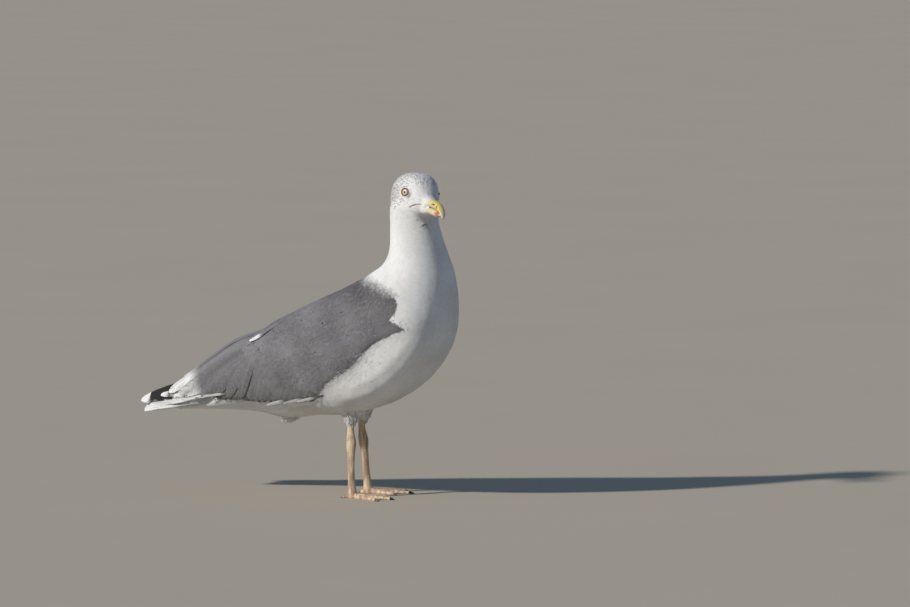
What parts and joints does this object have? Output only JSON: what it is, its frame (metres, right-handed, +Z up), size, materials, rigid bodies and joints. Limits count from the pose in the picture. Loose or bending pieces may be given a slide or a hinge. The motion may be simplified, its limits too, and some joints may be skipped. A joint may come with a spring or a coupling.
{
  "type": "standing gull",
  "caption": "Life-size gull standing at rest on webbed feet, with folded grey wings, a white body and its head turned to its right.",
  "frame": {"origin": "on the floor under the middle of the whole bird", "axes": "+X the way the body faces, +Z up; the bird's right side is -Y"},
  "size_m": [0.4116, 0.1468, 0.3949],
  "materials": {
    "white_plumage": "soft white body feathers",
    "grey_plumage": "soft mid-grey feathers of the back and wings",
    "black_feathers": "black flight feathers with white tips",
    "bill_horn": "yellow horn with a red spot, slightly glossy",
    "leg_skin": "scaly yellowish skin",
    "eye": "wet, pale iris round a dark pupil"
  },
  "bodies": {
    "root": {"head": "white_plumage", "neck": "white_plumage", "trunk": "white_plumage", "tail": "white_plumage", "thigh_left": "white_plumage", "thigh_right": "white_plumage", "wing_left": "grey_plumage", "wing_right": "grey_plumage", "primaries_left": "black_feathers", "primaries_right": "black_feathers", "bill_upper": "bill_horn", "bill_lower": "bill_horn", "eye_left": "eye", "eye_right": "eye", "shank_left": "leg_skin", "shank_right": "leg_skin", "tarsus_left": "leg_skin", "tarsus_right": "leg_skin", "foot_left": "leg_skin", "foot_right": "leg_skin"}
  },
  "joints": []
}
